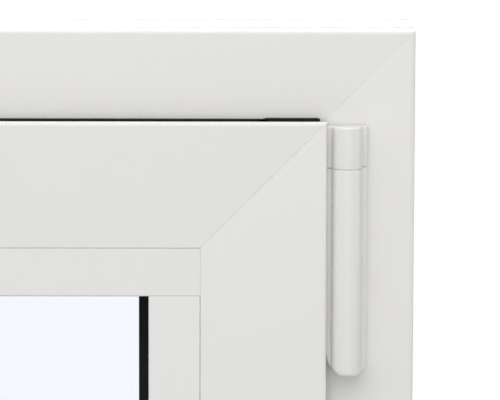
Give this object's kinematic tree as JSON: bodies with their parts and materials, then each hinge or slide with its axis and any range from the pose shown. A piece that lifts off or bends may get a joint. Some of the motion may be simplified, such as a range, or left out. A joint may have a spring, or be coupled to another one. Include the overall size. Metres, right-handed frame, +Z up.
{
  "type": "tilt and turn window",
  "caption": "Shut tilt and turn window: white plastic frame and sash with mitred welded corners, double glazing behind clip-in beads, hinge covers and a lever handle.",
  "frame": {"origin": "middle of the sill's underside, half way through the frame's depth", "axes": "+X along the sill towards the hinge side, +Y from the room to the outside, +Z up"},
  "size_m": [0.8, 0.1424, 1],
  "materials": {
    "frame_plastic": "satin white",
    "sash_plastic": "satin white",
    "bead_plastic": "satin white",
    "seal_rubber": "matt black",
    "clear_glass": "clear",
    "spacer_plastic": "matt black",
    "block_plastic": "plain",
    "cover_plastic": "satin white",
    "pin_steel": "zinc plated",
    "handle_metal": "white powder coat"
  },
  "bodies": {
    "root": {"frame_head": "frame_plastic", "frame_sill": "frame_plastic", "frame_jamb_left": "frame_plastic", "frame_jamb_right": "frame_plastic", "sash_top_rail": "sash_plastic", "sash_bottom_rail": "sash_plastic", "sash_handle_stile": "sash_plastic", "sash_hinge_stile": "sash_plastic", "bead_top": "bead_plastic", "bead_bottom": "bead_plastic", "bead_handle_side": "bead_plastic", "bead_hinge_side": "bead_plastic", "frame_seal": "seal_rubber", "sash_seal": "seal_rubber", "outer_glazing_seal": "seal_rubber", "bead_seal_top": "seal_rubber", "bead_seal_bottom": "seal_rubber", "bead_seal_handle_side": "seal_rubber", "bead_seal_hinge_side": "seal_rubber", "glass_pane_room_side": "clear_glass", "glass_pane_outside": "clear_glass", "glass_spacer": "spacer_plastic", "glazing_blocks": "block_plastic", "stay_bearing_cover": "cover_plastic", "stay_arm_cover": "cover_plastic", "corner_bearing_cover": "cover_plastic", "corner_band_cover": "cover_plastic", "drain_cover_left": "cover_plastic", "drain_cover_right": "cover_plastic", "stay_hinge_pin": "pin_steel", "corner_hinge_pin": "pin_steel", "handle_rose": "handle_metal", "handle_lever": "handle_metal"}
  },
  "joints": []
}
